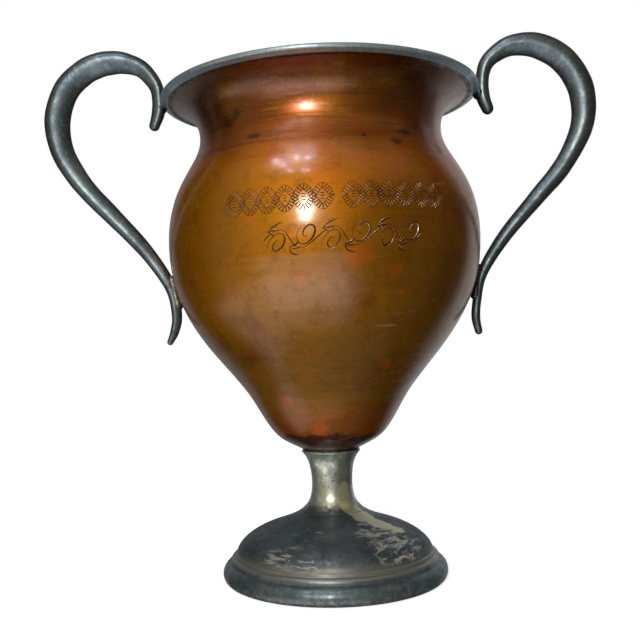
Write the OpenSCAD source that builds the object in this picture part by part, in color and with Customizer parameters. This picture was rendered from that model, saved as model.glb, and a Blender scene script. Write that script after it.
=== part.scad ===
// Two-handled prize cup. A spun copper bowl stands on a cast pewter stem and
// foot, has a pewter rim band and two cast pewter handles, and everything is
// joined with soft solder. The foot stands on Z = 0, the bowl's axis is the
// Z axis and the handles lie along X.

/* [Bowl] */
// Diameter of the belly at its widest
belly_d = 126.8; // [126:0.2:127.6]
// Height of the belly's widest ring
belly_h = 136; // [133:0.5:139]
// Diameter of the neck at its narrowest
neck_d = 99; // [94:0.5:104]
// Height of the narrowest ring of the neck
neck_h = 179.6; // [177:0.2:181]
// Diameter of the bowl's flat bottom, where it is soldered to the stem
seat_d = 20.8; // [16:0.2:22]
// Height of the bowl's flat bottom
seat_h = 51.2; // [50:0.2:53]
// Thickness of the spun copper
copper_t = 0.9; // [0.6:0.1:1.4]

/* [Rim band] */
// Outer diameter of the rim band
rim_d = 130.1; // [129.5:0.1:130.4]
// Height of the top of the rim band
rim_h = 197; // [196.6:0.1:197.6]
// Width of the rounded bead, measured across the mouth
bead_w = 3; // [2.8:0.1:3.2]
// Height of the rounded bead
bead_h = 2.4; // [2.2:0.1:2.7]

/* [Handles] */
// Distance from the cup's axis to the middle of a handle's outermost bend
reach = 109.4; // [109:0.1:114]
// Width of the handle across its widest part, seen from the front
handle_w = 11.4; // [9:0.1:12]
// Front-to-back thickness of a handle as a share of its width, at the widest
handle_flatness = 0.74; // [0.5:0.02:1]

/* [Stem and foot] */
// Diameter of the lip on top of the stem
stem_lip_d = 23.8; // [22:0.2:26]
// Diameter of the stem's waist
waist_d = 16.6; // [14:0.2:20]
// Height of the stem's waist
waist_h = 38; // [36:0.5:39]
// Height of the soldered joint between the stem and the foot
joint_h = 27; // [26.4:0.2:28]
// Diameter of the foot's dome at its lower edge
dome_d = 79.6; // [76:0.2:81]
// Height of the dome's lower edge
dome_h = 10.3; // [9.6:0.1:11]
// Outer diameter of the foot's base ring
foot_d = 91; // [90:0.5:96]
// Thickness of the cast pewter shells
pewter_t = 2.2; // [1.6:0.1:3]

/* [Hidden] */

COPPER = "#a9672f";
PEWTER = "#5d666c";
SOLDER = "#8c9498";

belly_r = belly_d / 2;
neck_r = neck_d / 2;
seat_r = seat_d / 2;
rim_r = rim_d / 2;
waist_r = waist_d / 2;
dome_r = dome_d / 2;
foot_r = foot_d / 2;
round_fn = 96;

// ---- curves ----

// Point at t on the cubic Bezier curve with the four control points p
function bezier(p, t) =
    pow(1 - t, 3) * p[0] + 3 * pow(1 - t, 2) * t * p[1]
    + 3 * (1 - t) * t * t * p[2] + pow(t, 3) * p[3];

// Unit vector along that curve at t
function bezier_dir(p, t) =
    let (d = pow(1 - t, 2) * (p[1] - p[0]) + 2 * (1 - t) * t * (p[2] - p[1])
             + t * t * (p[3] - p[2]))
    d / norm(d);

// n points on the curve, without its first point, moved sideways by shift:
// to the left of the direction of travel
function bezier_run(p, n, shift = 0) =
    [for (i = [1:n])
        let (d = bezier_dir(p, i / n))
        bezier(p, i / n) + shift * [-d[1], d[0]]];

// Value at position t, counted in stations, of a smooth curve through s
function smooth_at(s, t) =
    let (last = len(s) - 1,
         i = min(floor(t), last - 1),
         f = t - i,
         b = s[i],
         c = s[i + 1],
         a = i > 0 ? s[i - 1] : 2 * b - c,
         d = i + 2 <= last ? s[i + 2] : 2 * c - b)
    0.5 * (2 * b + (c - a) * f + (2 * a - 5 * b + 4 * c - d) * f * f
           + (3 * b - a - 3 * c + d) * f * f * f);

// ---- bowl: four curves from the flat bottom up to the lip ----

lip_r = rim_r - 1.7;
// The lip stands inside the bead, at this share of its height below the top
lip_depth = 0.78;
lip_h = rim_h - lip_depth * bead_h;
shoulder = [30.2, 70.6];
bowl_cup = [[seat_r, seat_h], [22.4, 57.1], [22, 56.4], shoulder];
bowl_lower = [shoulder, [40.2, 88.2], [belly_r, belly_h - 33.9], [belly_r, belly_h]];
bowl_upper = [[belly_r, belly_h], [belly_r, belly_h + 25.8],
              [neck_r, neck_h - 12.5], [neck_r, neck_h]];
bowl_flare = [[neck_r, neck_h], [neck_r, neck_h + 10.4],
              [lip_r - 5.8, lip_h - 1.8], [lip_r, lip_h]];
cup_steps = 12;
flare_steps = 18;
// Steps of the flare that the rim band's skirt covers
skirt_steps = 2;
skirt_start = flare_steps - skirt_steps;

// The wall between the seat and the lip, moved inwards by inset
function bowl_wall(inset) = concat(
    bezier_run(bowl_cup, cup_steps, inset),
    bezier_run(bowl_lower, 18, inset),
    bezier_run(bowl_upper, 16, inset),
    bezier_run(bowl_flare, flare_steps, inset));

module bowl_outside() {
    rotate_extrude($fn = round_fn)
        polygon(concat([[0, seat_h], [seat_r, seat_h]], bowl_wall(0), [[0, lip_h]]));
}

module bowl() {
    inner = bowl_wall(copper_t);
    color(COPPER)
        rotate_extrude($fn = round_fn)
            polygon(concat(
                [[0, seat_h], [seat_r, seat_h]],
                bowl_wall(0),
                [for (i = [len(inner) - 1:-1:0]) [inner[i][0], min(inner[i][1], lip_h)]],
                [[seat_r, seat_h + copper_t], [0, seat_h + copper_t]]));
}

// ---- rim band: a rounded bead with a skirt around the outside of the lip ----

bead_r = rim_r - bead_w / 2;
bead_z = rim_h - bead_h / 2;
// Angle below the horizontal at which the bead is cut flat, level with the lip
bead_cut = asin((bead_z - lip_h) / (bead_h / 2));
skirt_edge = bezier(bowl_flare, skirt_start / flare_steps);
skirt_corner = skirt_edge + [1.2, -0.25];

function bead_point(a) = [bead_r + bead_w / 2 * cos(a), bead_z + bead_h / 2 * sin(a)];

module rim_band() {
    arc_steps = 24;
    sweep_angle = 180 + 2 * bead_cut;
    skirt_inner = [for (i = [flare_steps:-1:skirt_start]) bezier(bowl_flare, i / flare_steps)];
    color(PEWTER)
        rotate_extrude($fn = round_fn)
            polygon(concat(
                [skirt_corner],
                [for (i = [0:arc_steps]) bead_point(i * sweep_angle / arc_steps - bead_cut)],
                skirt_inner));
}

// The line of solder under the skirt's edge
module rim_solder() {
    above = skirt_edge;
    below = bezier(bowl_flare, (skirt_start - 1) / flare_steps);
    color(SOLDER)
        rotate_extrude($fn = round_fn)
            polygon([below, above + 0.8 * (skirt_corner - above), above]);
}

// ---- handles: a tapering oval bar along a whiplash curve ----

// Stations from the tip under the rim, over the top and down to the tail:
// distance from the axis, height, half width
handle_stations = [
    [69.4, 188.4, 1.9], [67.7, 193, 2.2], [67.6, 200.5, 2.4], [70.3, 208.4, 3.2],
    [77, 213.6, 4.1], [86.5, 215.2, 5], [95.5, 212.8, handle_w / 2 - 0.15],
    [103.5, 206.2, handle_w / 2], [reach - 1.2, 196.8, handle_w / 2 - 0.15],
    [reach, 187.5, 5.2], [106.2, 175.5, 4.6], [98.9, 163.3, 3.95], [86.5, 149.5, 3.4],
    [72.3, 133.5, 2.85], [64.9, 122, 2.4], [62.1, 110.5, 2.05], [62.2, 102.5, 1.9],
    [63.6, 97.3, 1.45]];
rings_per_station = 4;
ring_sides = 16;
tip_rings = 3;
handle_span = len(handle_stations) - 1;

// One oval ring, across the travel direction at position t. size shrinks it
// and push moves it along the travel direction, both in half widths.
function handle_ring(t, size = 1, push = 0) =
    let (s = smooth_at(handle_stations, t),
         ahead = smooth_at(handle_stations, min(t + 0.05, handle_span)),
         behind = smooth_at(handle_stations, max(t - 0.05, 0)),
         step = [ahead[0] - behind[0], ahead[1] - behind[1]],
         dir = step / norm(step),
         half_depth = handle_flatness * s[2] + 0.35 * (handle_w / 2 - s[2]) / (handle_w / 2) * s[2])
    [for (k = [0:ring_sides - 1])
        let (a = 360 * k / ring_sides, across = size * s[2] * cos(a))
        [s[0] + push * s[2] * dir[0] - across * dir[1],
         size * half_depth * sin(a),
         s[1] + push * s[2] * dir[1] + across * dir[0]]];

handle_rings = concat(
    [for (i = [1:tip_rings])
        let (a = 90 * i / (tip_rings + 1)) handle_ring(0, sin(a), -cos(a))],
    [for (i = [0:handle_span * rings_per_station]) handle_ring(i / rings_per_station)],
    [for (i = [tip_rings:-1:1])
        let (a = 90 * i / (tip_rings + 1)) handle_ring(handle_span, sin(a), cos(a))]);

// Solid skin over the rings first to last
module ring_tube(rings) {
    n = ring_sides;
    last = len(rings) - 1;
    polyhedron(
        points = [for (ring = rings) each ring],
        faces = concat(
            [[for (k = [n - 1:-1:0]) k]],
            [for (i = [0:last - 1], k = [0:n - 1])
                [i * n + k, i * n + (k + 1) % n, (i + 1) * n + (k + 1) % n]],
            [for (i = [0:last - 1], k = [0:n - 1])
                [i * n + k, (i + 1) * n + (k + 1) % n, (i + 1) * n + k]],
            [[for (k = [0:n - 1]) last * n + k]]));
}

// The stretch of handle between two stations, with the same faces
module handle_stretch(from, to) {
    first = tip_rings + from * rings_per_station;
    ring_tube([for (i = [first:tip_rings + to * rings_per_station]) handle_rings[i]]);
}

module handle_right() {
    color(PEWTER) ring_tube(handle_rings);
}

module handle_left() {
    mirror([1, 0, 0]) handle_right();
}

// Rounded bar of solder of a given radius, its axis leaning by tilt degrees
module solder_bar(x, z, length, radius, tilt) {
    arc_steps = 6;
    straight = length / 2 - radius;
    translate([x, 0, z])
        rotate([0, tilt, 0])
            rotate_extrude($fn = 24)
                polygon(concat(
                    [for (i = [0:arc_steps])
                        let (a = 90 * i / arc_steps - 90)
                        [radius * cos(a), radius * sin(a) - straight]],
                    [for (i = [0:arc_steps])
                        let (a = 90 * i / arc_steps)
                        [radius * cos(a), radius * sin(a) + straight]]));
}

// Solder between the rim band and the handle's upper end
module handle_right_upper_solder() {
    color(SOLDER)
        difference() {
            solder_bar(rim_r + 1.1, bead_z - 0.5, 5.4, 2.6, 0);
            rim_band();
            bowl_outside();
            handle_stretch(0, 3);
        }
}

module handle_left_upper_solder() {
    mirror([1, 0, 0]) handle_right_upper_solder();
}

// Solder between the belly and the handle where it runs closest
module handle_right_lower_solder() {
    color(SOLDER)
        difference() {
            solder_bar(belly_r - 0.9, 117.5, 15, 2.1, 12);
            bowl_outside();
            handle_stretch(12, 17);
        }
}

module handle_left_lower_solder() {
    mirror([1, 0, 0]) handle_right_lower_solder();
}

// ---- stem ----

lip_edge_r = stem_lip_d / 2;

// Solder in the corner between the stem's lip and the bowl's first cone
module stem_top_solder() {
    seat_edge = [seat_r, seat_h];
    on_bowl = seat_edge + 0.5 * (bezier(bowl_cup, 1 / cup_steps) - seat_edge);
    color(SOLDER)
        rotate_extrude($fn = round_fn)
            polygon([seat_edge, [lip_edge_r - 0.5, seat_h],
                     [lip_edge_r - 0.3, seat_h + 0.25], on_bowl]);
}

stem_neck = [[lip_edge_r - 0.4, seat_h - 1.1], [lip_edge_r - 0.9, seat_h - 2],
             [waist_r, waist_h + 9.2], [waist_r, waist_h]];
// The flank runs on from the stem into the dome
flank_end = [25.1, 21.5];
stem_flank = [[waist_r, waist_h], [waist_r, waist_h - 8.4], [10.4, 26.2], flank_end];
flank_steps = 20;

// Steps of the flank that lie above height h
function flank_split(h, i = 0) =
    bezier(stem_flank, i / flank_steps)[1] <= h ? i : flank_split(h, i + 1);

split = flank_split(joint_h);
solder_film = 0.3;

// Points first to last of the flank, moved inwards by inset
function flank_part(first, last, inset) =
    [for (i = [first:last])
        let (d = bezier_dir(stem_flank, i / flank_steps))
        bezier(stem_flank, i / flank_steps) + inset * [d[1], -d[0]]];

stem_foot_edge = bezier(stem_flank, split / flank_steps);
inner_edge = flank_part(split, split, pewter_t)[0];

module stem() {
    bore_r = waist_r - pewter_t;
    neck = bezier_run(stem_neck, 10);
    flank = flank_part(1, split, 0);
    top_inner = flank_part(1, split, pewter_t);
    color(PEWTER)
        rotate_extrude($fn = round_fn)
            polygon(concat(
                [[bore_r, seat_h], [lip_edge_r - 0.4, seat_h],
                 [lip_edge_r, seat_h - 0.35], [lip_edge_r, seat_h - 0.75],
                 stem_neck[0]],
                neck,
                flank,
                [for (i = [len(top_inner) - 1:-1:0])
                    [max(top_inner[i][0], bore_r), max(top_inner[i][1], stem_foot_edge[1])]]));
}

// Film of solder between the stem and the foot's collar
module stem_foot_solder() {
    bottom = stem_foot_edge[1] - solder_film;
    color(SOLDER)
        rotate_extrude($fn = round_fn)
            polygon([[inner_edge[0] + 0.3, bottom], [stem_foot_edge[0], bottom],
                     [stem_foot_edge[0], stem_foot_edge[1]],
                     [inner_edge[0] + 0.3, stem_foot_edge[1]]]);
}

// ---- foot ----

dome_side = [flank_end, [33.7, 18.8], [dome_r, dome_h + 4.1], [dome_r, dome_h]];

// The dome's skin from the stem joint down to its lower edge
function dome_skin(inset) = concat(
    flank_part(split + 1, flank_steps, inset),
    [for (i = [1:16])
        let (d = bezier_dir(dome_side, i / 16))
        bezier(dome_side, i / 16) + inset * [d[1], -d[0]]]);

module foot_dome() {
    collar_h = stem_foot_edge[1] - solder_film;
    inner = dome_skin(pewter_t);
    color(PEWTER)
        rotate_extrude($fn = round_fn)
            polygon(concat(
                [[stem_foot_edge[0], collar_h]],
                dome_skin(0),
                [for (i = [len(inner) - 1:-1:0]) [max(inner[i][0], inner_edge[0]), inner[i][1]]],
                [[inner_edge[0], collar_h]]));
}

// Base ring: a cove under the dome, a rounded moulding and a flat underside
cove = [[dome_r + 0.5, dome_h - 0.7], [dome_r + 2.2, dome_h - 0.9],
        [dome_r + 2.4, dome_h - 1.6], [dome_r + 2.5, dome_h - 3.2]];
moulding = [cove[3], [foot_r - 1.5, dome_h - 3.7], [foot_r, 5.2], [foot_r, 3]];
underside = [moulding[3], [foot_r, 1.2], [foot_r - 0.9, 0], [foot_r - 2.2, 0]];
foot_rim_w = 6.5;

module foot_ring() {
    shelf_r = dome_r - pewter_t;
    color(PEWTER)
        rotate_extrude($fn = round_fn)
            polygon(concat(
                [[shelf_r, dome_h], [dome_r, dome_h], cove[0]],
                bezier_run(cove, 8),
                bezier_run(moulding, 8),
                bezier_run(underside, 6),
                [[foot_r - foot_rim_w, 0], [foot_r - foot_rim_w - 0.8, 1.4],
                 [shelf_r, dome_h - 3.4]]));
}

// Thin solder line where the dome meets the base ring
module foot_ring_solder() {
    color(SOLDER)
        rotate_extrude($fn = round_fn)
            polygon([[dome_r, dome_h], cove[0], [dome_r + 0.35, dome_h + 0.4],
                     bezier(dome_side, 15 / 16)]);
}

bowl();
rim_band();
rim_solder();
handle_left();
handle_right();
handle_left_upper_solder();
handle_left_lower_solder();
handle_right_upper_solder();
handle_right_lower_solder();
stem_top_solder();
stem();
stem_foot_solder();
foot_dome();
foot_ring_solder();
foot_ring();
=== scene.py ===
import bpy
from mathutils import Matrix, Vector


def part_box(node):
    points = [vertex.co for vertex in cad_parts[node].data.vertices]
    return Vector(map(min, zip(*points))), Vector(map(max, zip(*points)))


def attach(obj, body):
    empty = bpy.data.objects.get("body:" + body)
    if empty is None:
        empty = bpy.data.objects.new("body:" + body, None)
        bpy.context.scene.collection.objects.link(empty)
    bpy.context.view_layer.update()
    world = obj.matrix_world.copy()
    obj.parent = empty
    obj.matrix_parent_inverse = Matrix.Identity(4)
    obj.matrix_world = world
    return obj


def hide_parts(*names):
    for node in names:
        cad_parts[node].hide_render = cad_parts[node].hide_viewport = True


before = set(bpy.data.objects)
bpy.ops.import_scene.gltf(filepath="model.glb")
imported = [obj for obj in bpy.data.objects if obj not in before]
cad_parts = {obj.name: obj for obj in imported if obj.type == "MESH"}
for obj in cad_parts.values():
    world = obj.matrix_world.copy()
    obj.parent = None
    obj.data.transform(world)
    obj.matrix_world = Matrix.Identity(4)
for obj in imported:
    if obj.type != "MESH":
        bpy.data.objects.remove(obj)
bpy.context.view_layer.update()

import math
import random

import bmesh
import bpy
from mathutils import Matrix, Vector, noise

MM = 0.001
BODY = "root"

BOWL_LO, BOWL_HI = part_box("bowl")
CORNER_DEG = 24.0       # an outline that turns more than this has a corner there
SHARP_DEG = 38.0        # a mesh edge that turns more than this is drawn sharp


# ---------------------------------------------------------------- mesh helpers

def smoothstep(low, high, x):
    t = min(max((x - low) / (high - low), 0.0), 1.0)
    return t * t * (3 - 2 * t)


def turned_outline(node):
    """The (radius, height) points of a turned CAD node, in order round its section."""
    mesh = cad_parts[node].data
    near = 4e-6         # metres: closer than this counts as the same point
    points, index_of, cells = [], [], {}
    for v in mesh.vertices:
        p = (math.hypot(v.co.x, v.co.y), v.co.z)
        cell = (round(p[0] / near), round(p[1] / near))
        found = None
        for i in (-1, 0, 1):
            for j in (-1, 0, 1):
                found = cells.get((cell[0] + i, cell[1] + j), found)
        if found is None:
            found = len(points)
            points.append(p)
            cells[cell] = found
        index_of.append(found)
    links = {i: set() for i in range(len(points))}
    for e in mesh.edges:
        a, b = (index_of[k] for k in e.vertices)
        if a != b:
            links[a].add(b)
            links[b].add(a)
    ends = [i for i in links if len(links[i]) == 1]
    order = [ends[0] if ends else 0]
    while True:
        ahead = [i for i in sorted(links[order[-1]]) if i not in order]
        if not ahead:
            break
        order.append(ahead[0])
    outline = [points[i] for i in order]
    area = sum(a[0] * b[1] - b[0] * a[1] for a, b in zip(outline, outline[1:] + outline[:1]))
    return outline if area > 0 else outline[::-1]


def refined(outline, step):
    """The closed outline with points every step, on smooth curves between its sharp corners."""
    pts = [Vector(p) for p in outline]
    n = len(pts)

    def turn(i):
        a, b, c = pts[i - 1], pts[i], pts[(i + 1) % n]
        u, v = b - a, c - b
        if u.length < 1e-7 or v.length < 1e-7:
            return 0.0
        return abs(math.degrees(u.angle(v)))

    sharp = [turn(i) > CORNER_DEG for i in range(n)]
    out = []
    for i in range(n):
        b, c = pts[i], pts[(i + 1) % n]
        a = b - (c - b) if sharp[i] else pts[i - 1]
        d = c + (c - b) if sharp[(i + 1) % n] else pts[(i + 2) % n]
        # tangents scaled to this stretch keep uneven spacing smooth
        length = (c - b).length
        if length < 1e-7:
            continue
        tb = (c - a).normalized() * length
        tc = (d - b).normalized() * length
        count = max(1, round(length / step))
        for k in range(count):
            t = k / count
            p = (b * (2 * t**3 - 3 * t * t + 1) + tb * (t**3 - 2 * t * t + t)
                 + c * (3 * t * t - 2 * t**3) + tc * (t**3 - t * t))
            out.append((max(p.x, 0.0), p.y))
    return out


def new_piece(name, verts, faces, replaces=()):
    mesh = bpy.data.meshes.new(name)
    mesh.from_pydata([tuple(v) for v in verts], [], faces)
    mesh.validate()
    mesh.update()
    mesh.shade_smooth()
    mesh.set_sharp_from_angle(angle=math.radians(SHARP_DEG))
    piece = bpy.data.objects.new(name, mesh)
    bpy.context.scene.collection.objects.link(piece)
    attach(piece, BODY)
    if replaces:
        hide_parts(*replaces)
    return piece


COLUMNS = 256           # points round a turned piece


def lathe(name, outline, replaces, shift):
    """A closed turned solid. shift(point) says how far each point moves."""
    columns = COLUMNS
    verts, rings = [], []
    for r, z in outline:
        if r < 1e-6:
            rings.append([len(verts)])
            verts.append(Vector((0, 0, z)))
        else:
            rings.append(list(range(len(verts), len(verts) + columns)))
            for k in range(columns):
                a = 2 * math.pi * k / columns
                verts.append(Vector((r * math.cos(a), r * math.sin(a), z)))
    faces = []
    for lower, upper in zip(rings, rings[1:] + rings[:1]):
        if len(lower) == 1 and len(upper) == 1:
            continue        # two points on the axis bound no face
        for k in range(columns):
            k2 = (k + 1) % columns
            if len(lower) == 1:
                faces.append((lower[0], upper[k2], upper[k]))
            elif len(upper) == 1:
                faces.append((lower[k], lower[k2], upper[0]))
            else:
                faces.append((lower[k], lower[k2], upper[k2], upper[k]))
    return new_piece(name, [v + shift(v) for v in verts], faces, replaces)


# ---------------------------------------------------------------- hand-made irregularities

def soft_noise(v, size, seed=0.0):
    """Smooth noise from -1 to 1 whose bumps are about size across."""
    return noise.noise(v / size + Vector((seed, seed * 0.7, -seed)))


def copper_shift(v):
    """The faint dents and spinning rings of hand-spun copper."""
    out = Vector((v.x, v.y, 0))
    if out.length < 1e-4:
        return Vector()
    out.normalize()
    # nothing moves where the bowl meets its seat and its rim band
    held = smoothstep(0.051, 0.060, v.z) * (1 - smoothstep(0.186, 0.192, v.z))
    dents = 0.10 * soft_noise(v, 0.022, 3.1) + 0.035 * soft_noise(v, 0.008, 7.7)
    rings = 0.012 * math.sin(v.z / 0.0011 + 2 * soft_noise(v, 0.03, 1.3))
    return out * held * (dents + rings) * MM


def pewter_shift(size, depth, seed):
    """Casting waviness of a given size and depth."""
    def shift(v):
        out = Vector((v.x, v.y, 0)).normalized()
        bump = soft_noise(v, size, seed) + 0.4 * soft_noise(v, size / 3, seed + 5)
        lift = smoothstep(0.0, 0.002, v.z)
        return out * bump * depth * lift
    return shift


# ---------------------------------------------------------------- turned pieces

BOWL_OUTLINE = refined(turned_outline("bowl"), 1.1 * MM)


def make_bowl():
    return lathe("copper_bowl", BOWL_OUTLINE, ["bowl"], copper_shift)


def make_pewter_turnings():
    """The rim, the stem and the foot with their solder, by the CAD node that each replaces."""
    made = {}
    # node, name, slot, outline step in mm, size of the waves in m, their depth in mm, seed
    for node, name, slot, step, size, depth, seed in (
            ("rim_band", "pewter_rim_band", "pewter", 0.35, 0.006, 0.05, 2.2),
            ("rim_solder", "rim_solder_line", "solder", 0.3, 0.0025, 0.10, 4.4),
            ("stem_top_solder", "stem_top_solder_bead", "solder", 0.3, 0.002, 0.05, 3),
            ("stem", "pewter_stem", "pewter", 0.5, 0.009, 0.07, 10),
            ("stem_foot_solder", "stem_foot_solder_film", "solder", 0.3, 0.009, 0.07, 10),
            ("foot_dome", "pewter_foot_dome", "pewter", 0.8, 0.009, 0.07, 10),
            ("foot_ring_solder", "foot_solder_line", "solder", 0.3, 0.003, 0.08, 4),
            ("foot_ring", "pewter_foot_ring", "pewter", 0.5, 0.009, 0.07, 10)):
        outline = refined(turned_outline(node), step * MM)
        made[node] = lathe(name, outline, [node], pewter_shift(size, depth * MM, seed))
    return made


# ---------------------------------------------------------------- handles

# Each handle's route in mm: distance from the axis, height, half width. A least-squares fit
# to the outline of each handle gave these stations. The right one is bent a little tighter.
LEFT_ROUTE = [
    (69.0, 188.2, 2.3), (67.3, 193.5, 2.8), (67.1, 199.5, 2.7), (68.3, 205.4, 3.0),
    (73.7, 212.2, 3.6), (80.8, 215.1, 4.5), (86.5, 215.6, 5.1), (91.9, 214.9, 5.4),
    (98.6, 212, 5.6), (106.1, 204.8, 5.7), (110.2, 192.7, 5.6), (108.7, 180, 5),
    (103.5, 169.5, 4.5), (97.1, 160.8, 4), (87.1, 150, 3.7), (74.2, 135.5, 3.1),
    (64.5, 120.6, 2.5), (62, 108.8, 2.2), (63, 101.8, 1.95), (65.1, 97.2, 1.3)]
RIGHT_ROUTE = [
    (69.4, 188.9, 2.5), (67.8, 194, 2.8), (67.8, 201, 2.7), (69.4, 207.1, 3.0),
    (73.4, 211.3, 3.5), (79.9, 214.5, 4.3), (87.9, 214.7, 5.1), (94.3, 212.4, 5.5),
    (100, 208.5, 5.6), (105.2, 201.5, 5.5), (108.1, 192.8, 5.3), (107.7, 181.2, 4.7),
    (102.7, 169.9, 4), (96.4, 160.7, 3.7), (87.3, 150.7, 3.3), (74.4, 136.2, 2.8),
    (64.6, 121.3, 2.2), (61.9, 110, 1.8), (61.2, 102.9, 1.8), (62.1, 97.5, 1.5)]
HANDLE_FLATNESS = 0.74      # thickness over width where a handle is widest
WIDEST = 5.7                # mm: half the width there
# how far each handle's ridge lies from the middle towards the outer edge
LEFT_RIDGE, RIGHT_RIDGE = 0.28, 0.04
HANDLE_SIDES = 48           # points round a handle
RINGS_PER_STATION = 14
TIP_RINGS = 7               # rings that round off each end
AIM_STEP = 0.05             # stations between the places that give a ring's direction
THIN_EXTRA = 0.35           # a handle is rounder where it is thin, by up to this share
SECTION_FALL, SECTION_ROUNDING = 1.8, 0.62      # powers that shape the section


def smooth_at(stations, t):
    """The value at t, counted in stations, of a smooth curve through all of them."""
    last = len(stations) - 1
    i = min(int(t), last - 1)
    f = t - i
    s = [Vector(p) for p in stations]
    b, c = s[i], s[i + 1]
    a = s[i - 1] if i > 0 else 2 * b - c
    d = s[i + 2] if i + 2 <= last else 2 * c - b
    return 0.5 * (2 * b + (c - a) * f + (2 * a - 5 * b + 4 * c - d) * f * f
                  + (3 * b - a - 3 * c + d) * f * f * f)


def handle_stops(span):
    """Where the rings lie: (place on the route, size, push past the end), tip to tip."""
    tip = [math.pi / 2 * (i + 0.35) / TIP_RINGS for i in range(TIP_RINGS)]
    stops = [(0.0, math.sin(a), -math.cos(a)) for a in tip]
    stops += [(i / RINGS_PER_STATION, 1.0, 0.0) for i in range(span * RINGS_PER_STATION + 1)]
    return stops + [(float(span), math.sin(a), math.cos(a)) for a in reversed(tip)]


def handle_ring(side, route, ridge, stop):
    """One ring of points: an oval with a soft ridge along its front and its back."""
    t, size, push = stop
    s = smooth_at(route, t)
    ahead = smooth_at(route, min(t + AIM_STEP, len(route) - 1))
    behind = smooth_at(route, max(t - AIM_STEP, 0))
    along = Vector((ahead.x - behind.x, 0, ahead.y - behind.y)).normalized()
    across = Vector((-along.z, 0, along.x))
    depth = (HANDLE_FLATNESS + THIN_EXTRA * (1 - s.z / WIDEST)) * s.z
    centre = Vector((s.x, 0, s.y)) + along * push * s.z
    ring = []
    for k in range(HANDLE_SIDES):
        a = 2 * math.pi * k / HANDLE_SIDES
        c = math.cos(a)
        off = (c - ridge) / (1 - ridge) if c > ridge else (ridge - c) / (1 + ridge)
        bulge = (1 - min(off, 1) ** SECTION_FALL) ** SECTION_ROUNDING
        bulge = math.copysign(bulge, math.sin(a))
        p = (centre + across * size * s.z * c + Vector((0, size * depth * bulge, 0))) * MM
        wave = 0.10 * soft_noise(p, 0.009, 11 + 5 * side) + 0.04 * soft_noise(p, 0.003, 2)
        normal = (across * math.cos(a) + Vector((0, math.sin(a), 0))).normalized()
        p += normal * wave * MM * size
        ring.append(Vector((side * p.x, p.y, p.z)))
    return ring


def make_handle(side):
    """side is 1 for the right handle and -1 for the left."""
    route, ridge = (RIGHT_ROUTE, RIGHT_RIDGE) if side > 0 else (LEFT_ROUTE, LEFT_RIDGE)
    sides = HANDLE_SIDES
    stops = handle_stops(len(route) - 1)
    verts = [p for stop in stops for p in handle_ring(side, route, ridge, stop)]
    faces = []
    last = (len(stops) - 1) * sides
    for i in range(0, last, sides):
        for k in range(sides):
            k2 = (k + 1) % sides
            quad = (i + k, i + k2, i + sides + k2, i + sides + k)
            faces.append(quad if side < 0 else quad[::-1])
    for first, flip in ((0, side > 0), (last, side < 0)):
        ring = range(first, first + sides)
        middle = len(verts)
        verts.append(sum((verts[k] for k in ring), Vector()) / sides)
        for k in range(sides):
            a, b = ring[k], ring[(k + 1) % sides]
            faces.append((middle, a, b) if flip else (middle, b, a))
    word = "right" if side > 0 else "left"
    return new_piece(f"pewter_handle_{word}", verts, faces, [f"handle_{word}"])


# ---------------------------------------------------------------- engraving

def outer_wall():
    """(height, radius) of the bowl's outside, from its foot up to its lip."""
    outline = BOWL_OUTLINE
    start = max((i for i, p in enumerate(outline) if p[1] < BOWL_LO.z + 0.02 * MM),
                key=lambda i: outline[i][0])
    wall = []
    for i in range(len(outline)):
        r, z = outline[(start + i) % len(outline)]
        if wall and z <= wall[-1][0]:
            break
        wall.append((z, r))
    return wall


WALL = outer_wall()


def bowl_radius(z):
    """The radius of the bowl's outside at the height z in metres."""
    for (z0, r0), (z1, r1) in zip(WALL, WALL[1:]):
        if z0 <= z <= z1:
            return r0 + (r1 - r0) * (z - z0) / (z1 - z0)
    return WALL[-1][1] if z > WALL[-1][0] else WALL[0][1]


def on_bowl(azimuth, z):
    """The point of the bowl's outside at an azimuth in degrees and a height in mm, and the
    direction straight out of the copper there."""
    a, z = math.radians(azimuth), z * MM
    slope = (bowl_radius(z + 0.5 * MM) - bowl_radius(z - 0.5 * MM)) / MM
    out = Vector((math.sin(a), -math.cos(a), -slope)).normalized()
    p = Vector((math.sin(a), -math.cos(a), 0)) * bowl_radius(z) + Vector((0, 0, z))
    return p + copper_shift(p), out


CREST, FLANK, KEEL = 0.075, 0.02, 0.12      # mm: over and under the copper


class Cuts:
    """Bright-cut strokes: long slivers that follow the bowl, all in one mesh.

    Each sliver's crest stands just clear of the copper. Its flanks and keel lie under it."""

    def __init__(self):
        self.verts, self.faces = [], []

    def stroke(self, line, widths, aside):
        """line holds (azimuth, height) points. aside moves the sliver across the stroke."""
        first = len(self.verts)
        places = [on_bowl(*p) for p in line]
        for i, ((p, out), width) in enumerate(zip(places, widths)):
            along = places[min(i + 1, len(places) - 1)][0] - places[max(i - 1, 0)][0]
            across = out.cross(along.normalized())
            half = width / 2 * MM
            middle = p + across * aside * half
            edge = across * half * (1 - abs(aside))
            self.verts += [middle - edge - out * FLANK * MM, middle + out * CREST * MM,
                           middle + edge - out * FLANK * MM, middle - out * KEEL * MM]
        for i in range(first, first + 4 * (len(places) - 1), 4):
            for k in range(4):
                k2 = (k + 1) % 4
                self.faces.append((i + k, i + k2, i + 4 + k2, i + 4 + k))
        last = len(self.verts) - 4
        self.faces.append((first + 3, first + 2, first + 1, first))
        self.faces.append((last, last + 1, last + 2, last + 3))

    def piece(self, name):
        made = new_piece(name, self.verts, self.faces)
        shape = bmesh.new()
        shape.from_mesh(made.data)
        bmesh.ops.recalc_face_normals(shape, faces=shape.faces)
        shape.to_mesh(made.data)
        shape.free()
        made.data.shade_flat()
        return made


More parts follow.
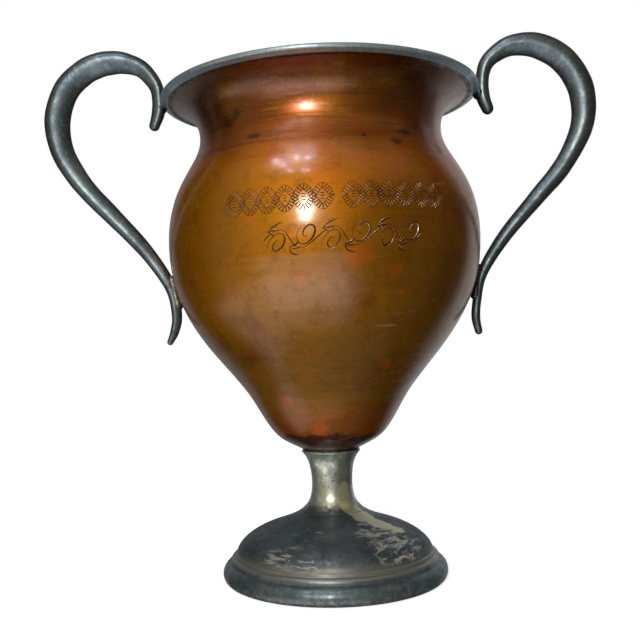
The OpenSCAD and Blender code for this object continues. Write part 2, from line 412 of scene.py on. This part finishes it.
BRIGHT_SHARE = 0.55         # width of a stroke's bright side over that of its dark side, which is painted shade
DARK_ASIDE = -0.25


def cut(bright, dark, line, widths, aside):
    """A stroke: bright fresh-cut copper with a painted highlight on one side, and a dark sliver
    of painted shade on the other.
    """
    bright.stroke(line, [BRIGHT_SHARE * w for w in widths], aside)
    dark.stroke(line, widths, DARK_ASIDE)


def degrees_along(mm, z):
    """The angle in degrees of a run of mm along the bowl's outside at the height z in mm."""
    return math.degrees(mm * MM / bowl_radius(z * MM))


def hatch(line, spacing, length):
    """Short rungs across a line of (x, y) points in mm, like a punched ladder."""
    rungs, due = [], spacing / 2
    for (x0, y0), (x1, y1) in zip(line, line[1:]):
        run = math.hypot(x1 - x0, y1 - y0)
        ux, uy = (x1 - x0) / run, (y1 - y0) / run
        while due < run:
            x, y, reach = x0 + ux * due, y0 + uy * due, length / 2
            rungs.append(((x + uy * reach, y - ux * reach), (x - uy * reach, y + ux * reach)))
            due += spacing
        due -= run
    return rungs


# The frieze, in mm
FRIEZE = 144.9              # height of its middle line
FRIEZE_STARTS = (-35.5, 7.5)
FRIEZE_CLIMB, FRIEZE_STRETCH = 0.02, 1.05
STRAY = 0.05                # how far a rung's end may stand off its place
EYES = 6                    # in each of its two runs
EYE, SWELL = 6.5, 3.5       # length and half height of one eye of the braid
EYE_STEPS = 16              # points along one eye
RUNG_SPACING, RUNG_LENGTH, RUNG_WIDTH = 0.98, 2.0, 0.60
RAIL_WIDTH = 0.20
HEART_SPACING, HEART_LENGTH, HEART_WIDTH = 0.95, 1.4, 0.50     # the bar inside each eye


def on_frieze(x, y, stray=0.0):
    """(azimuth, height) of a point of the frieze, which climbs a little to the right."""
    z = FRIEZE + FRIEZE_CLIMB * x + FRIEZE_STRETCH * y + stray
    return degrees_along(x, z), z


def make_frieze(bright, dark):
    """A hatched braid of two crossing waves round the shoulder, in two runs."""
    pick = random.Random(7)

    def rung(ends, width):
        line = [on_frieze(x, y, pick.uniform(-STRAY, STRAY)) for x, y in ends]
        cut(bright, dark, line, (width,) * 2, 0.55)

    # dark rails of painted shade along both edges of each wave
    def rail(wave, side):
        line = []
        for (x0, y0), (x1, y1) in zip(wave, wave[1:]):
            run = math.hypot(x1 - x0, y1 - y0)
            line.append(on_frieze(x0 - side * (y1 - y0) / run, y0 + side * (x1 - x0) / run))
        dark.stroke(line, [RAIL_WIDTH] * len(line), 0.0)

    for first in FRIEZE_STARTS:
        for phase in (1, -1):
            wave = [(first + EYE * i / EYE_STEPS,
                     phase * SWELL * math.sin(math.pi * i / EYE_STEPS))
                    for i in range(EYES * EYE_STEPS + 1)]
            for ends in hatch(wave, RUNG_SPACING, RUNG_LENGTH):
                rung(ends, RUNG_WIDTH)
            for side in (-1, 1):
                rail(wave, side)
        for eye in range(EYES):
            middle = first + (eye + 0.5) * EYE
            bar = [(middle, -HEART_LENGTH), (middle, HEART_LENGTH)]
            for ends in hatch(bar, HEART_SPACING, HEART_LENGTH):
                rung(ends, HEART_WIDTH)


# The scroll, in mm
SCROLL = 131.0              # height of its middle line
SCROLL_START = -22
SCROLL_WAVE = 19.0          # length of one wave of its stem
SCROLL_WAVES = 3
SCROLL_SWING = 3.4          # half height of a wave
SCROLL_CLIMB, SCROLL_LEAN, SCROLL_SHIFT = 0.018, 0.35, 1.0
STEM_STEPS, VOLUTE_STEPS, LEAF_STEPS = 180, 70, 14
VOLUTE_RADIUS, VOLUTE_CLOSING = 4.5, 0.78
VOLUTE_START, VOLUTE_TURN = 205, 500        # degrees


def scroll_stem():
    line = []
    for i in range(STEM_STEPS + 1):
        x = SCROLL_START + SCROLL_WAVES * SCROLL_WAVE * i / STEM_STEPS
        phase = 2 * math.pi * (x - SCROLL_START) / SCROLL_WAVE
        line.append((x, SCROLL_SWING * math.sin(phase), 0.22 + 0.40 * math.cos(phase) ** 2))
    return line


def scroll_volute(centre, up):
    line = []
    for i in range(VOLUTE_STEPS + 1):
        t = i / VOLUTE_STEPS
        radius = VOLUTE_RADIUS * (1 - VOLUTE_CLOSING * t)
        a = math.radians(VOLUTE_START - VOLUTE_TURN * t)
        line.append((centre + 0.8 + radius * math.cos(a) * 0.8,
                     up * (radius * math.sin(a) - 1.6),
                     0.16 + 0.85 * max(0.0, math.sin(math.pi * t)) ** 1.5))
    return line


def scroll_leaf(centre, up, lean, size):
    line = []
    for i in range(LEAF_STEPS + 1):
        t = i / LEAF_STEPS
        bend = lean + 0.7 * t
        line.append((centre - 3.9 + size * t * math.sin(bend),
                     up * (2.6 + size * t * math.cos(bend)),
                     0.10 + 1.0 * math.sin(math.pi * t) ** 1.3))
    return line


def scroll_lines():
    """A running scroll with volutes and leaves: lists of (x, y, width) in mm."""
    lines = [scroll_stem()]
    for half in range(2 * SCROLL_WAVES):
        centre = SCROLL_START + SCROLL_WAVE * (0.25 + half / 2)
        up = 1 if half % 2 == 0 else -1
        lines.append(scroll_volute(centre, up))
        for lean, size in ((0.25, 5.4), (0.85, 4.2), (1.45, 3.2)):
            lines.append(scroll_leaf(centre, up, lean, size))
    return lines


def make_scroll(bright, dark):
    """The scroll's strokes, which lean and climb a little to the right."""
    for line in scroll_lines():
        points, widths = [], []
        for x, y, width in line:
            z = SCROLL + y + SCROLL_CLIMB * x
            points.append((degrees_along(x + SCROLL_LEAN * y + SCROLL_SHIFT, z), z))
            widths.append(width)
        cut(bright, dark, points, widths, 0.6)


# ---------------------------------------------------------------- materials

class Nodes:
    """Makes and joins the nodes of one tree."""

    def __init__(self, tree):
        self.tree = tree

    def node(self, kind, inputs=(), **settings):
        made = self.tree.nodes.new(kind)
        for key, value in settings.items():
            setattr(made, key, value)
        for key, value in dict(inputs).items():
            self.feed(made.inputs[key], value)
        return made

    def feed(self, socket, value):
        if isinstance(value, bpy.types.NodeSocket):
            self.tree.links.new(value, socket)
        else:
            socket.default_value = value

    def math(self, operation, a, b=0.0):
        made = self.node("ShaderNodeMath", {0: a, 1: b}, operation=operation)
        return made.outputs[0]

    def spread(self, value, low, high, to_low=0.0, to_high=1.0):
        """A smooth step: to_low where value is at low or under it, to_high from high on."""
        made = self.node("ShaderNodeMapRange", {
            "Value": value, "From Min": low, "From Max": high,
            "To Min": to_low, "To Max": to_high}, interpolation_type="SMOOTHSTEP")
        return made.outputs["Result"]

    def mix(self, fac, a, b):
        """The colour a where fac is 0 and b where it is 1."""
        made = self.node("ShaderNodeMix", data_type="RGBA")
        self.feed(made.inputs[0], fac)
        # sockets 6 and 7 are the two that take colours
        self.feed(made.inputs[6], (*a, 1) if isinstance(a, tuple) else a)
        self.feed(made.inputs[7], (*b, 1) if isinstance(b, tuple) else b)
        return made.outputs[2]


class Shader(Nodes):
    """A Principled material built node by node, from object coordinates in metres."""

    def __init__(self, name):
        self.material = bpy.data.materials.new(name)
        self.material.use_nodes = True
        super().__init__(self.material.node_tree)
        self.bsdf = self.tree.nodes["Principled BSDF"]
        self.place = self.node("ShaderNodeTexCoord").outputs["Object"]

    def stretched(self, scale, turn=(0, 0, 0), offset=(0, 0, 0)):
        made = self.node("ShaderNodeMapping", {"Vector": self.place, "Scale": scale,
                                               "Rotation": turn, "Location": offset})
        return made.outputs["Vector"]

    def noise(self, scale, detail=4.0, rough=0.55, twist=0.0, vector=None):
        """Noise about 0.5, with scale bumps to a metre."""
        made = self.node("ShaderNodeTexNoise", {
            "Vector": vector or self.place, "Scale": scale, "Detail": detail,
            "Roughness": rough, "Distortion": twist})
        return made.outputs["Fac"]

    def ramp(self, value, *stops):
        """The colour at value along stops, each a (position, colour)."""
        made = self.node("ShaderNodeValToRGB", {"Fac": value})
        ramp = made.color_ramp
        while len(ramp.elements) < len(stops):
            ramp.elements.new(1.0)
        for element, (at, colour) in zip(ramp.elements, stops):
            element.position = at
            element.color = (*colour, 1)
        return made.outputs["Color"]

    def height(self):
        return self.node("ShaderNodeSeparateXYZ", {"Vector": self.place}).outputs["Z"]

    def spot(self, centre, radius, edge=0.35, ragged=0.5, scale=180.0, stretch=(1, 1, 1)):
        """1 inside a ragged patch round a point, 0 outside."""
        away = self.node("ShaderNodeVectorMath", {0: self.place, 1: centre},
                         operation="SUBTRACT").outputs["Vector"]
        squeezed = self.node("ShaderNodeVectorMath", {0: away, 1: stretch},
                             operation="MULTIPLY").outputs["Vector"]
        length = self.node("ShaderNodeVectorMath", {0: squeezed}, operation="LENGTH")
        rough = self.math("MULTIPLY", self.math("SUBTRACT", self.noise(scale, 5, 0.6), 0.5),
                          2 * ragged * radius)
        at = self.math("ADD", length.outputs["Value"], rough)
        return self.spread(at, radius * (1 - edge), radius * (1 + edge), 1.0, 0.0)

    def bump(self, height, distance, strength=1.0, under=None):
        made = self.node("ShaderNodeBump", {"Height": height, "Distance": distance,
                                            "Strength": strength})
        if under is not None:
            self.feed(made.inputs["Normal"], under)
        return made.outputs["Normal"]

    def paint(self, fac, force, under, over):
        """The colour under, with over laid on it by fac times force."""
        return self.mix(self.math("MULTIPLY", fac, force), under, over)

    def finish(self, **sockets):
        """Feeds the shader's own sockets, and gives back the material."""
        for key, value in sockets.items():
            name = key.replace("_", " ").title().replace("Ior", "IOR")
            self.feed(self.bsdf.inputs[name], value)
        return self.material


def copper_material():
    s = Shader("aged_lacquered_copper")
    height = s.height()
    body = s.ramp(s.spread(height, BOWL_LO.z, BOWL_HI.z),
                  (0.00, (0.400, 0.078, 0.001)), (0.07, (0.350, 0.155, 0.014)),
                  (0.25, (0.350, 0.150, 0.004)), (0.50, (0.350, 0.136, 0.002)),
                  (0.70, (0.430, 0.156, 0.001)), (0.83, (0.560, 0.150, 0.001)),
                  (0.94, (0.520, 0.112, 0.001)), (1.00, (0.150, 0.030, 0.001)))
    blotch = s.noise(26.0, 5.0, 0.6, 0.6)
    colour = s.mix(s.spread(blotch, 0.45, 0.68, 0.0, 0.7), body, (0.42, 0.188, 0.002))
    # painted light: a lighter golden patch on the belly's left, where light falls from the front
    # left
    gold_painted_light = s.spot(on_bowl(-42, 134)[0], 34 * MM, 0.6, 0.35, 60.0)
    colour = s.paint(gold_painted_light, 0.75, colour, (0.560, 0.225, 0.001))
    # finer clouds, olive to orange, that break up the lacquer
    cloud = s.noise(95.0, 6.0, 0.68, 0.9, s.stretched((1, 1, 1.6), offset=(0.7, 0.1, 0.4)))
    colour = s.mix(s.spread(cloud, 0.50, 0.70, 0.0, 0.50), colour, (0.230, 0.105, 0.002))
    colour = s.mix(s.spread(cloud, 0.32, 0.46, 0.40, 0.0), colour, (0.560, 0.185, 0.002))
    rust = s.noise(41.0, 6.0, 0.62, 1.1, s.stretched((1, 1, 1), offset=(0.31, 0.12, 0.2)))
    colour = s.mix(s.spread(rust, 0.53, 0.72, 0.0, 0.6), colour, (0.240, 0.054, 0.001))
    # spinning lines and the wiping marks in the lacquer
    streak = s.noise(1.0, 6.0, 0.7, 0.3, s.stretched((22, 22, 700)))
    colour = s.paint(s.spread(streak, 0.47, 0.68), s.spread(height, 0.158, 0.172, 0.16, 0.75),
                     colour, (0.16, 0.046, 0.002))
    mottle = s.noise(210.0, 6.0, 0.7, 0.2)
    colour = s.mix(s.spread(mottle, 0.50, 0.78, 0.0, 0.60), colour, (0.19, 0.076, 0.004))
    # specks of dust and hair-fine scratches all over
    dust = s.noise(760.0, 4.0, 0.7)
    colour = s.mix(s.spread(dust, 0.56, 0.72, 0.0, 0.25), colour, (0.700, 0.360, 0.060))
    hair = s.noise(1.0, 5.0, 0.8, 0.7, s.stretched((150, 150, 1900), turn=(0.22, 0.12, 0)))
    colour = s.mix(s.spread(hair, 0.58, 0.70, 0.0, 0.40), colour, (0.620, 0.330, 0.080))
    # stains, each at its azimuth and height: blotches of red-brown and drops of orange
    for azimuth, z, size, flat in ((-43, 178.5, 3.6, 1.6), (-38, 181, 2.2, 1.2),
                                   (-27, 170.3, 2.8, 2.4), (30, 166, 2.6, 2.0),
                                   (36, 170.5, 3.4, 3.0), (17, 168, 0.9, 1.0)):
        stain = s.spot(on_bowl(azimuth, z)[0], size * MM, 0.5, 0.9, 420.0, (1, 1, flat))
        colour = s.paint(stain, 0.75, colour, (0.085, 0.018, 0.004))
    for azimuth, z, size, force in ((11, 124, 5.0, 0.55), (24, 118.8, 2.6, 0.6),
                                    (31, 86.3, 2.2, 0.9), (-30, 73.3, 2.4, 0.8),
                                    (-9, 62, 2.8, 0.9), (27, 112, 1.1, 0.7),
                                    (-24, 139, 2.0, 0.5), (46, 139, 2.2, 0.5),
                                    (-8, 117, 2.4, 0.35), (-12, 60.5, 1.6, 0.8)):
        stain = s.spot(on_bowl(azimuth, z)[0], size * MM, 0.55, 0.9, 330.0)
        colour = s.paint(stain, 0.7 * force, colour, (0.72, 0.150, 0.004))
    # the dark pool where lacquer ran down to the seat
    pool = s.math("ADD", height, s.math("MULTIPLY", s.noise(90.0, 4.0, 0.6), 0.012))
    colour = s.mix(s.spread(pool, 0.0646, 0.0656, 0.85, 0.0), colour, (0.110, 0.016, 0.001))
    # pale scratches: a cluster high on the right, a few long ones low on the right
    for azimuth, z, size, turn, force in ((46, 155, 11.0, 0.9, 0.80), (50, 84, 13.0, 1.1, 0.45),
                                          (33, 101, 12.0, 0.35, 0.30), (2, 166, 12.0, 0.1, 0.20),
                                          (-6, 180, 20.0, 0.02, 0.25)):
        field = s.spot(on_bowl(azimuth, z)[0], size * MM, 0.6, 0.7, 130.0)
        lines = s.noise(1.0, 5.0, 0.75, 0.5, s.stretched((90, 90, 900), turn=(turn, turn, 0)))
        worn = s.math("MULTIPLY", field, s.spread(lines, 0.56, 0.70))
        colour = s.paint(worn, force, colour, (0.90, 0.62, 0.40))
    rough = s.math("ADD", s.spread(blotch, 0.3, 0.7, 0.54, 0.62),
                   s.spread(mottle, 0.45, 0.8, 0.0, 0.10))
    rough = s.math("ADD", rough, s.spread(height, 0.160, 0.174, 0.0, -0.15))
    fine = s.noise(1.0, 4.0, 0.7, 0.2, s.stretched((60, 60, 1500)))
    dimple = s.bump(s.noise(120.0, 3.0, 0.5), 0.0001, 0.10)
    dimple = s.bump(s.noise(950.0, 3.0, 0.6), 0.00002, 0.35, dimple)
    return s.finish(
        base_color=colour, metallic=0.96, roughness=rough, specular_ior_level=0.0,
        coat_weight=s.spread(mottle, 0.40, 0.85, 1.0, 0.55),
        coat_roughness=s.spread(height, 0.160, 0.172, 0.165, 0.230), coat_ior=1.72,
        normal=s.bump(fine, 0.00002, 0.35, dimple),
        coat_normal=s.bump(fine, 0.00001, 0.25, dimple))


def cut_material(name, low, high, rough):
    """Cut copper whose tone varies from place to place as painted light: the bright cuts are
    fresh copper with a painted highlight, the dark cuts painted shade.
    """
    s = Shader(name)
    tone = s.noise(160.0, 3.0, 0.6)
    return s.finish(base_color=s.mix(s.spread(tone, 0.35, 0.65), low, high), metallic=1.0,
                    roughness=rough)


SLATE = (0.105, 0.135, 0.145)       # the pewter on both sides of the stem's lower joint


def pewter_shader(name, dark, light, blotch_size, low=0.30, high=0.46):
    """Oxidised pewter: soft clouds, small specks of wear and a sandy grain.

    Gives the shader with its colour, roughness and normal. low and high are roughnesses."""
    s = Shader(name)
    cloud = s.noise(1 / blotch_size, 6.0, 0.65, 0.5)
    speck = s.noise(620.0, 4.0, 0.65, 0.3)
    colour = s.mix(s.spread(cloud, 0.34, 0.68), dark, light)
    colour = s.mix(s.spread(speck, 0.50, 0.78, 0.0, 0.55), colour,
                   tuple(min(1.0, 1.7 * c) for c in light))
    colour = s.mix(s.spread(speck, 0.22, 0.42, 0.6, 0.0), colour,
                   tuple(0.45 * c for c in dark))
    grain = s.noise(1500.0, 3.0, 0.6)
    sand = s.bump(grain, 0.00003, 0.35)
    rough = s.spread(cloud, 0.3, 0.7, high, low)
    return s, colour, rough, s.bump(speck, 0.00008, 0.30, sand)


def handle_material():
    s, colour, rough, normal = pewter_shader(
        "handle_pewter", (0.092, 0.128, 0.165), (0.210, 0.270, 0.325), 0.016, 0.40, 0.50)
    return s.finish(base_color=colour, metallic=0.97, roughness=rough, normal=normal)


def rim_material():
    s, colour, rough, normal = pewter_shader(
        "rim_pewter", (0.310, 0.410, 0.490), (0.440, 0.580, 0.680), 0.007)
    wipe = s.noise(1.0, 5.0, 0.7, 0.4, s.stretched((170, 170, 1200)))
    colour = s.mix(s.spread(wipe, 0.52, 0.72, 0.0, 0.5), colour, (0.48, 0.55, 0.60))
    return s.finish(base_color=colour, metallic=0.75, roughness=rough, normal=normal)


def foot_point(azimuth, radius, z):
    """The place at an azimuth in degrees, a radius and a height in mm."""
    a = math.radians(azimuth)
    return Vector((radius * math.sin(a), -radius * math.cos(a), z)) * MM


def stem_material():
    s, colour, rough, normal = pewter_shader(
        "stem_pewter", (0.400, 0.460, 0.430), (0.860, 0.950, 0.880), 0.006, 0.24, 0.42)
    pits = s.noise(900.0, 5.0, 0.7, 0.6)
    colour = s.mix(s.spread(pits, 0.30, 0.44, 0.85, 0.0), colour, (0.030, 0.036, 0.040))
    # painted shade: a dark patch on the stem's right side, away from the light
    stem_right_shade = s.spot(foot_point(48, 8.6, 43), 7.5 * MM, 0.5, 0.9, 300.0, (1, 1, 0.7))
    colour = s.paint(stem_right_shade, 0.55, colour, (0.060, 0.070, 0.075))
    # the stem darkens to slate where it spreads into the foot
    level = s.math("ADD", s.height(), s.math("MULTIPLY", s.noise(330.0, 5.0, 0.65), -0.006))
    colour = s.mix(s.spread(level, 0.0245, 0.0282, 0.92, 0.0), colour, SLATE)
    colour = scraped(s, colour)
    return s.finish(base_color=colour, metallic=0.8, roughness=rough, normal=normal)


def scraped(s, colour):
    """The bare tan metal where the joint was scraped, from the stem down the foot's front."""
    for centre, size, ragged, stretch in (
            (foot_point(36, 8.3, 34), 3.6, 0.35, (1, 1, 0.75)),
            (foot_point(42, 10.5, 28.6), 4.2, 0.35, (1, 1, 1)),
            (foot_point(50, 15.0, 25.5), 4.6, 0.4, (0.8, 1, 1)),
            (foot_point(57, 21.5, 22.8), 4.0, 0.55, (0.7, 1, 1)),
            (foot_point(62, 27.0, 20.8), 2.6, 0.8, (0.5, 1, 1))):
        patch = s.spot(centre, size * MM, 0.10, ragged, 260.0, stretch)
        colour = s.paint(patch, 0.95, colour, (0.660, 0.655, 0.500))
    return colour


BARE_TOP = (0.0215, 0.0275)         # metres: the dome turns as bare as the stem over these


def dome_material():
    s, colour, rough, normal = pewter_shader(
        "dome_pewter", (0.052, 0.076, 0.092), (0.102, 0.138, 0.158), 0.013, 0.42, 0.55)
    # brush feathers below the scraped joint, then finger-wide scratches
    feather = s.noise(1.0, 5.0, 0.7, 0.8, s.stretched((110, 110, 900), turn=(0, 0.25, 0)))
    flake = s.noise(1.0, 4.0, 0.6, 1.2, s.stretched((210, 210, 520), turn=(0, 0.4, 0)))
    for centre, size, marks, low, force in (
            (foot_point(43, 27.5, 20.3), 8.0, feather, 0.48, 0.80),
            (foot_point(53, 33.0, 17.6), 7.0, feather, 0.53, 0.60),
            (foot_point(40, 36.0, 16.0), 7.0, flake, 0.54, 0.95),
            (foot_point(49, 38.5, 14.0), 6.0, flake, 0.55, 0.90),
            (foot_point(-32, 40.5, 10.8), 9.0, feather, 0.50, 0.70),
            (foot_point(-9, 41.0, 10.3), 7.0, flake, 0.58, 0.60),
            (foot_point(-20, 23.0, 24.0), 7.0, flake, 0.60, 0.40)):
        field = s.spot(centre, size * MM, 0.5, 0.8, 240.0, (0.75, 1, 1))
        worn = s.math("MULTIPLY", field, s.spread(marks, low, low + 0.05))
        colour = s.paint(worn, force, colour, (0.56, 0.58, 0.55))
    # the dome's lower edge is rubbed bare all round, most of all at the front left
    edge = s.spread(s.math("ADD", s.height(), s.math("MULTIPLY", s.noise(150.0), -0.003)),
                    0.0093, 0.0128, 0.75, 0.0)
    colour = s.mix(edge, colour, (0.200, 0.200, 0.175))
    # its top is as bare as the stem that it carries
    top = s.spread(s.height(), *BARE_TOP)
    colour = s.paint(top, 0.8, colour, SLATE)
    rough = s.math("SUBTRACT", rough, s.math("MULTIPLY", top, 0.14))
    colour = scraped(s, colour)
    return s.finish(base_color=colour, metallic=s.spread(s.height(), *BARE_TOP, 0.65, 0.8),
                    roughness=rough, normal=normal)


def ring_material():
    s, colour, rough, normal = pewter_shader(
        "ring_pewter", (0.088, 0.122, 0.146), (0.180, 0.238, 0.272), 0.009)
    edge = s.spread(s.height(), 0.0078, 0.0092, 0.0, 0.65)
    colour = s.mix(edge, colour, (0.330, 0.340, 0.320))
    chips = s.noise(480.0, 5.0, 0.7, 0.6)
    low = s.spread(s.height(), 0.0010, 0.0042, 1.0, 0.0)
    colour = s.paint(low, s.spread(chips, 0.50, 0.62), colour, (0.340, 0.340, 0.300))
    return s.finish(base_color=colour, metallic=0.7, roughness=rough, normal=normal)


def solder_material(name, low, high):
    s = Shader(name)
    patch = s.noise(420.0, 5.0, 0.65)
    return s.finish(base_color=s.mix(s.spread(patch, 0.35, 0.65), low, high), metallic=1.0,
                    roughness=s.spread(patch, 0.3, 0.7, 0.50, 0.36),
                    normal=s.bump(patch, 0.0003, 0.5))


def dress(piece, material):
    piece.data.materials.clear()
    piece.data.materials.append(material)


# ---------------------------------------------------------------- stage, light and camera

FLOOR_HALF = 4.0        # metres from the middle of the floor to its sides


def make_floor():
    """A pale floor that lights nothing and shows in no reflection."""
    half = FLOOR_HALF
    mesh = bpy.data.meshes.new("floor")
    mesh.from_pydata([(-half, -half, 0), (half, -half, 0), (half, half, 0), (-half, half, 0)],
                     [], [(0, 1, 2, 3)])
    floor = bpy.data.objects.new("floor", mesh)
    bpy.context.scene.collection.objects.link(floor)
    floor.data.materials.append(Shader("pale_floor").finish(
        base_color=(0.90, 0.90, 0.90, 1), roughness=0.9,
        emission_color=(1.0, 1.0, 1.0, 1), emission_strength=0.62))
    floor.visible_glossy = False
    floor.visible_diffuse = False


# The studio that reflections show: azimuth from and to, elevation from and to, softness of
# both, colour, strength. Azimuth 0 is in front of the cup, 90 to its right; all in degrees.
PANELS = [
    # the dim room, its front half, and the wall at the front left
    ((-200, 200), (-95, 95), (0, 5), (1.00, 0.86, 0.60), 0.008),
    ((-92, 96), (-95, 95), (12, 5), (1.00, 0.80, 0.34), 0.080),
    ((-86, -36), (-36, 34), (10, 12), (1.00, 0.74, 0.34), 0.19),
    # above: the top of the walls, the bright ceiling and its dimmer right part
    ((-100, 100), (38, 62), (14, 9), (1.00, 0.80, 0.38), 0.24),
    ((-54, -6), (56, 84), (12, 9), (1.00, 0.90, 1.00), 2.70),
    ((8, 60), (60, 95), (14, 9), (1.00, 0.92, 0.90), 0.28),
    # below: the pale table, its brighter far part, and a dim part right under the cup
    ((-102, 28), (-62, -27), (12, 6), (1.00, 0.93, 0.90), 0.58),
    ((-50, 18), (-48, -13), (12, 5), (1.00, 0.96, 0.98), 0.74),
    ((-160, 160), (-95, -60), (12, 12), (1.00, 0.88, 0.60), 0.12),
    # the pale walls behind the cup, right and left
    ((127, 205), (-28, 38), (8, 12), (0.97, 0.98, 1.00), 0.45),
    ((-205, -140), (-40, 42), (7, 12), (0.98, 0.98, 1.00), 0.22),
    # the glow round the main lamp
    ((-20, 0), (4, 30), (11, 11), (1.00, 0.94, 0.84), 0.60),
]
EVEN_LIGHT = (0.45, 0.45, 0.45)     # what matt surfaces get from all round
BACKDROP = (1.0, 1.0, 1.0)          # what the camera sees behind the cup
FULL_TURN = 360


def panel_light(n, azimuth, elevation, panel):
    """One panel's light, as a colour that fades out over its soft edges."""
    (left, right), (low, high), (side_soft, up_soft), colour, power = panel

    def inside(value, start, end, soft):
        return n.math("MULTIPLY", n.spread(value, start - soft, start + soft),
                      n.spread(value, end - soft, end + soft, 1.0, 0.0))

    share = inside(elevation, low, high, up_soft)
    if right - left < FULL_TURN:
        share = n.math("MULTIPLY", share, inside(azimuth, left, right, side_soft))
    glow = n.node("ShaderNodeVectorMath", {
        0: colour, "Scale": n.math("MULTIPLY", share, power)}, operation="SCALE")
    return glow.outputs[0]


def studio(n):
    """The light of all panels, by the direction of the ray."""
    direction = n.node("ShaderNodeTexCoord").outputs["Generated"]
    parts = n.node("ShaderNodeSeparateXYZ", {0: direction}).outputs
    to_degrees = 180 / math.pi
    elevation = n.math("MULTIPLY", n.math("ARCSINE", parts["Z"]), to_degrees)
    towards = n.math("MULTIPLY", parts["Y"], -1.0)
    azimuth = n.math("MULTIPLY", n.math("ARCTAN2", parts["X"], towards), to_degrees)
    room = None
    for panel in PANELS:
        glow = panel_light(n, azimuth, elevation, panel)
        if room is not None:
            glow = n.node("ShaderNodeVectorMath", {0: room, 1: glow},
                          operation="ADD").outputs[0]
        room = glow
    return room


def make_world():
    """White for the camera, an even grey for matt surfaces, and the studio for reflections."""
    world = bpy.data.worlds.new("studio")
    bpy.context.scene.world = world
    world.use_nodes = True
    world.node_tree.nodes.clear()
    n = Nodes(world.node_tree)
    ray = n.node("ShaderNodeLightPath").outputs
    light = n.mix(ray["Is Glossy Ray"], EVEN_LIGHT, studio(n))
    shown = n.mix(ray["Is Camera Ray"], light, BACKDROP)
    back = n.node("ShaderNodeBackground", {"Color": shown})
    n.node("ShaderNodeOutputWorld", {0: back.outputs[0]})


LAMP_DISTANCE = 1.6                 # metres from the belly
LAMP_AIM = Vector((0, 0, 0.13))     # the middle of the belly
# (azimuth, elevation) of each, in degrees
CEILING_BULBS = ((-49, 58), (-29, 50), (-28, 62), (-14, 62), (-13, 50), (-39, 56))


def make_lamp(name, azimuth, elevation, size, power, colour, tall=1.0):
    """An oval lamp aimed at the belly. Azimuth 0 is in front, 90 is to the right."""
    a, e = math.radians(azimuth), math.radians(elevation)
    away = Vector((math.sin(a) * math.cos(e), -math.cos(a) * math.cos(e), math.sin(e)))
    light = bpy.data.lights.new(name, "AREA")
    light.shape = "ELLIPSE"
    light.size, light.size_y = size, size * tall
    light.energy = power
    light.color = colour
    lamp = bpy.data.objects.new(name, light)
    lamp.location = LAMP_AIM + away * LAMP_DISTANCE
    lamp.rotation_mode = "QUATERNION"
    lamp.rotation_quaternion = away.to_track_quat("Z", "Y")
    bpy.context.scene.collection.objects.link(lamp)


def make_lamps():
    make_lamp("main_lamp", -11, 17, 0.24, 11.5, (1.0, 0.91, 0.76), tall=1.8)
    for number, (azimuth, elevation) in enumerate(CEILING_BULBS):
        make_lamp(f"ceiling_bulb_{number}", azimuth, elevation, 0.05, 0.34, (0.90, 0.88, 1.0))


CAMERA_DISTANCE = 0.3491     # metres from the cup's axis
CAMERA_HEIGHT = 0.0950
CAMERA_TURN = 2.67           # degrees: the camera looks this far to the right of the axis
CAMERA_PITCH = 1.77          # degrees above level
CAMERA_ROLL = 1.97           # degrees: the cup leans this far to the left
CAMERA_SENSOR = 36.0         # mm
CAMERA_LENS = 47.53          # mm
CAMERA_SHIFT = (0.0519, -0.0041)


def make_camera():
    data = bpy.data.cameras.new("camera")
    data.sensor_width = CAMERA_SENSOR
    data.lens = CAMERA_LENS
    data.clip_start, data.clip_end = 0.01, 50
    data.shift_x, data.shift_y = CAMERA_SHIFT
    camera = bpy.data.objects.new("camera", data)
    turn = Matrix.Rotation(math.radians(CAMERA_TURN), 4, "Z")
    pitch = Matrix.Rotation(math.radians(90 + CAMERA_PITCH), 4, "X")
    roll = Matrix.Rotation(math.radians(-CAMERA_ROLL), 4, "Z")
    place = Matrix.Translation((0, -CAMERA_DISTANCE, CAMERA_HEIGHT))
    camera.matrix_world = place @ turn @ pitch @ roll
    bpy.context.scene.collection.objects.link(camera)
    bpy.context.scene.camera = camera


# ---------------------------------------------------------------- the cup

bpy.context.scene.view_settings.view_transform = "Standard"

dress(make_bowl(), copper_material())
bright, dark = Cuts(), Cuts()
make_frieze(bright, dark)
make_scroll(bright, dark)
# the bright cuts are fresh-cut copper with a painted highlight
dress(bright.piece("engraving_bright_cuts_painted_highlight"),
      cut_material("bright_cut_copper_painted_highlight", (0.42, 0.26, 0.14), (0.95, 0.78, 0.58), 0.42))
# the dark cuts are painted shade beside each stroke, and the rails
dress(dark.piece("engraving_painted_shade_cuts"),
      cut_material("painted_shade_cut_copper", (0.050, 0.020, 0.006), (0.170, 0.070, 0.020), 0.50))

# partly dark solder, partly painted shade: the solder at the stem's top and at three handle
# joints sits in shade, while the lit lower left joint gets the pale solder
dark_solder_painted_shade = solder_material("dark_solder_painted_shade", (0.020, 0.021, 0.022), (0.090, 0.092, 0.095))
pale_solder = solder_material("pale_solder", (0.10, 0.10, 0.09), (0.26, 0.25, 0.22))
stem_pewter, ring_pewter = stem_material(), ring_material()
turned = make_pewter_turnings()
for node, material in (("rim_band", rim_material()), ("rim_solder", pale_solder),
                       ("stem_top_solder", dark_solder_painted_shade), ("stem", stem_pewter),
                       ("stem_foot_solder", stem_pewter), ("foot_dome", dome_material()),
                       ("foot_ring_solder", ring_pewter), ("foot_ring", ring_pewter)):
    dress(turned[node], material)

handle_pewter = handle_material()
for side in (-1, 1):
    dress(make_handle(side), handle_pewter)
# the upper joints and the lower right one get the solder with painted shade
for node, material in (("handle_left_upper_solder", dark_solder_painted_shade),
                       ("handle_left_lower_solder", pale_solder),
                       ("handle_right_upper_solder", dark_solder_painted_shade),
                       ("handle_right_lower_solder", dark_solder_painted_shade)):
    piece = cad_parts[node]
    dress(piece, material)
    piece.data.shade_smooth()

make_floor()
make_world()
make_lamps()
make_camera()
